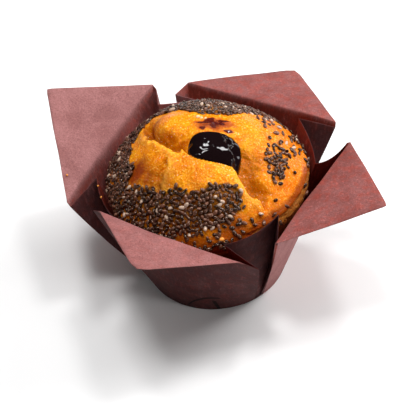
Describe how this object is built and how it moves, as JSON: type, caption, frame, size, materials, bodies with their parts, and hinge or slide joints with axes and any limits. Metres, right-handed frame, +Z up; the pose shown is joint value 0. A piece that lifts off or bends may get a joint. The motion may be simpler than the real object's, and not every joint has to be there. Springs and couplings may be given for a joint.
{
  "type": "muffin in a paper case",
  "caption": "Domed golden muffin with a collar of small dark seeds and a spoon of dark jam on top, in a case folded from square paper with open petals.",
  "frame": {"origin": "middle of the flat base of the paper case, on the surface that it stands on", "axes": "+Z up; -Y towards the viewer of the picture, +X to the right"},
  "size_m": [0.1197, 0.1204, 0.0693],
  "materials": {
    "crust": "baked golden crust, lightly glossy with sugar, dark seeds pressed in",
    "jam": "near-black, wet and very glossy",
    "paper": "matt brown-mauve greaseproof paper with a fine mottled fibre"
  },
  "bodies": {
    "root": {"muffin": "crust", "jam": "jam", "paper_case": "paper"}
  },
  "joints": []
}
